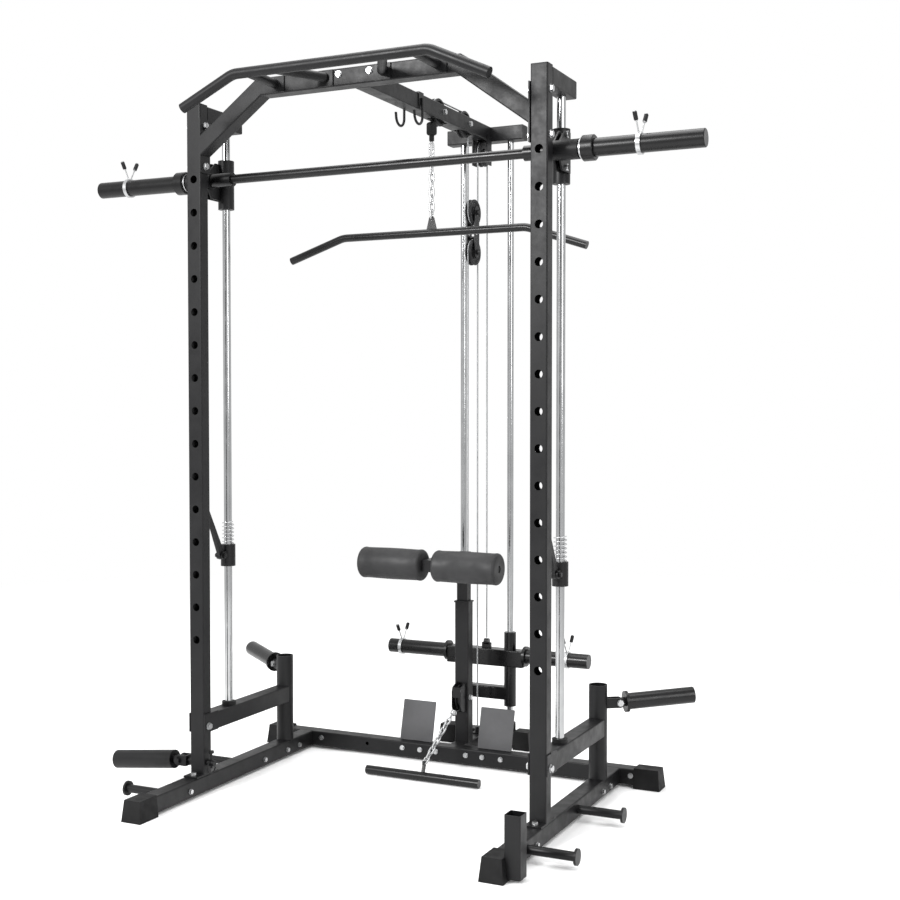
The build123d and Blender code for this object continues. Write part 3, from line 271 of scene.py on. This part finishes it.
runs_low, runs_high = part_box("cable_runs_low")
low_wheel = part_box("pulley_low")
wheel_z = (low_wheel[0].z + low_wheel[1].z) / 2
row_run = straight_cable("low_row_rope", (0, runs_low.y + ROPE_R, wheel_z),
                         (0, runs_low.y + ROPE_R, runs_high.z))
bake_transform(row_run)
anchor_run = straight_cable("anchor_rope", (0, runs_high.y - ROPE_R, runs_low.z),
                            (0, runs_high.y - ROPE_R, runs_high.z))
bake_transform(anchor_run)
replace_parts(row_run, "cable_runs_low")

# From the front pulley down into the ball stop, 39 mm below its upper edge.
chain_low, chain_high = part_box("ball_stop")
lat_y = (chain_low.y + chain_high.y) / 2
ball_top = chain_high.z - 0.039
front_run = straight_cable("lat_rope", (0, lat_y, chain_high.z), (0, lat_y, ball_top))
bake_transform(front_run)

# From the underside of the low pulley forward to the low chain.
_, hook_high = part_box("low_chain")
exit_y = 0.350
exit_z = low_wheel[0].z + 0.004
row_exit = straight_cable("row_rope", (0, exit_y, exit_z), (0, hook_high.y - 0.002, exit_z))
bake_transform(row_exit)


# ---- foam rollers -------------------------------------------------------
def roller(node, body, side):
    """Foam sleeve with soft shoulders, dished ends and a slightly wavy skin."""
    low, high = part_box(node)
    radius = (high.z - low.z) / 2
    centre = (low + high) / 2
    inner = min(low.x, high.x, key=abs)
    length = high.x - low.x
    bore = 0.0112
    dish_edge = bore + 0.006
    shoulder = 0.011
    shoulder_steps = 8
    flat_r = radius - shoulder
    corner = []
    for k in range(shoulder_steps + 1):
        a = math.pi / 2 * k / shoulder_steps
        corner.append((shoulder * (1 - math.cos(a)), flat_r + shoulder * math.sin(a)))
    skin = 0.0005
    waviness = 0.0006
    skin_steps = 24
    span = length - 2 * shoulder
    profile = [(0.002, bore), (0.001, dish_edge), (0, flat_r)] + corner
    for k in range(1, skin_steps):
        wave = waviness * math.cos(2 * math.pi * k / skin_steps)
        profile.append((shoulder + span * k / skin_steps, radius - skin - wave))
    profile += [(length - along, r) for along, r in reversed(corner)]
    profile += [(length, flat_r - 0.002), (length - 0.001, dish_edge), (length - 0.002, bore)]
    piece = lathe(node + "_foam", (inner, centre.y, centre.z), (side, 0, 0), profile,
                  FOAM, FOAM_STEPS)
    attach(piece, body)
    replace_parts(piece, node)


roller("leg_roller_left", "roller_l", -1)
roller("leg_roller_right", "roller_r", 1)


# ---- dark grips on the clips --------------------------------------------
POINT = 0.0001            # the radius that closes a turned end
GRIP_R = 0.0060
GRIP_FROM = (0.0067, 0.0156, 0.0588)
GRIP_TO = (0.0084, 0.0264, 0.0806)
CLIP_AXIS_RISE = 0.02935  # from the clip's lowest point to the sleeve's axis


def grip(name, start, end, body):
    """Plastic grip with chamfered ends over the end of a clip's wire."""
    direction = Vector(end) - Vector(start)
    length = direction.length
    lip = GRIP_R * 0.3
    profile = [(0, POINT), (0, GRIP_R - lip), (lip, GRIP_R), (length - lip, GRIP_R),
               (length, GRIP_R - lip), (length, POINT)]
    piece = lathe(name, start, direction.normalized(), profile, PLASTIC, SMALL_STEPS)
    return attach(piece, body)


CLIP_BODIES = {"clip_smith_left": "clip_smith_l", "clip_smith_right": "clip_smith_r",
               "clip_carriage_left": "clip_carriage_l", "clip_carriage_right": "clip_carriage_r"}
for clip_node, clip_body in CLIP_BODIES.items():
    clip_low, clip_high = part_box(clip_node)
    clip_x = (clip_low.x + clip_high.x) / 2
    clip_y = (clip_low.y + clip_high.y) / 2
    axis_z = clip_low.z + CLIP_AXIS_RISE
    for turn in (-1, 1):
        ends = [(clip_x + dx * turn, clip_y + dy * turn, axis_z + dz)
                for dx, dy, dz in (GRIP_FROM, GRIP_TO)]
        grip(f"{clip_node}_grip_{turn + 1}", *ends, clip_body)

# ---- bright washers and nuts of the Smith machine -----------------------
smith_low, smith_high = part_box("smith_bar")
bar_y = (smith_low.y + smith_high.y) / 2
bar_z = (smith_low.z + smith_high.z) / 2
_, carriage_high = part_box("smith_carriages")
NUT_X = 0.5890           # outer face of the carriage plates
WASHER_GAP = 0.0042      # from the bearing housing to the washer
NUT_BACK = 0.038         # from the bar's axis to the bolts, along Y
NUT_LEVELS = (-0.040, 0.050)
washer = [(0, 0.0252), (0, 0.0285), (0.005, 0.0285), (0.005, 0.0252)]
nut = [(0, POINT), (0, 0.0098), (0.0055, 0.0098), (0.0075, 0.0075), (0.0075, POINT)]
for side, name in ((-1, "left"), (1, "right")):
    washer_x = side * (carriage_high.x + WASHER_GAP)
    ring = lathe(f"collar_washer_{name}", (washer_x, bar_y, bar_z), (side, 0, 0), washer,
                 ZINC)
    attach(ring, "smith_barbell")
    for level, rise in enumerate(NUT_LEVELS):
        place = (side * NUT_X, bar_y + NUT_BACK, bar_z + rise)
        cap = lathe(f"carriage_nut_{name}_{level}", place, (side, 0, 0), nut, ZINC,
                    SMALL_STEPS)
        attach(cap, "smith_carriage")

# ---- studio -------------------------------------------------------------
def flat(name, size, location, mat):
    mesh = bmesh.new()
    bmesh.ops.create_grid(mesh, x_segments=1, y_segments=1, size=size)
    data = bpy.data.meshes.new(name)
    mesh.to_mesh(data)
    mesh.free()
    data.materials.append(mat)
    obj = bpy.data.objects.new(name, data)
    obj.location = location
    scene.collection.objects.link(obj)
    return obj


# The floor fades from white paint to plain white light, so that no horizon shows.
FLOOR_WHITE = (0.96, 0.96, 0.96)
FADE_START = 2.0
FADE_END = 5.5
floor_mat, floor_tree, floor_shader = material("floor_white", FLOOR_WHITE, 0.0, 0.7)
floor_coords = floor_tree.nodes.new("ShaderNodeTexCoord")
floor_reach = floor_tree.nodes.new("ShaderNodeVectorMath")
floor_reach.operation = "LENGTH"
floor_tree.links.new(floor_coords.outputs["Object"], floor_reach.inputs[0])
far_away = ramp(floor_tree, floor_reach.outputs["Value"], 0, 1, FADE_START, FADE_END)
floor_tree.links.new(mix_color(floor_tree, far_away, FLOOR_WHITE, (0, 0, 0)),
                     floor_shader.inputs["Base Color"])
floor_shader.inputs["Emission Color"].default_value = (1, 1, 1, 1)
floor_tree.links.new(far_away, floor_shader.inputs["Emission Strength"])
floor_shader.inputs["Specular IOR Level"].default_value = 0.0
flat("floor", 40.0, (0, 0, -0.0005), floor_mat)

world = bpy.data.worlds.new("studio")
world.use_nodes = True
world.node_tree.nodes["Background"].inputs["Color"].default_value = (1, 1, 1, 1)
world.node_tree.nodes["Background"].inputs["Strength"].default_value = 1.0
scene.world = world


def area_light(name, location, target, size, power):
    data = bpy.data.lights.new(name, "AREA")
    data.shape = "RECTANGLE"
    data.size, data.size_y = size
    data.energy = power
    obj = bpy.data.objects.new(name, data)
    obj.location = location
    obj.rotation_mode = "QUATERNION"
    obj.rotation_quaternion = (Vector(location) - Vector(target)).to_track_quat("Z", "Y")
    scene.collection.objects.link(obj)


area_light("key", (-1.6, -4.6, 3.2), (0, 0, 1.1), (1.1, 1.1), 260)
area_light("fill", (4.4, -2.2, 2.4), (0, 0, 1.0), (0.9, 2.4), 60)
area_light("top", (0, 0.2, 4.6), (0, 0, 0), (3.2, 3.2), 120)

camera_data = bpy.data.cameras.new("camera")
camera_data.sensor_width = 36.0
camera_data.lens = 52.98
camera_data.clip_end = 200
camera = bpy.data.objects.new("camera", camera_data)
camera.location = (1.8655, -3.6311, 1.1866)
looking_down = math.radians(1.84)
azimuth = math.radians(25.33)
camera.rotation_euler = (math.radians(90) - looking_down, 0, azimuth)
scene.collection.objects.link(camera)
scene.camera = camera
scene.view_settings.view_transform = "Standard"
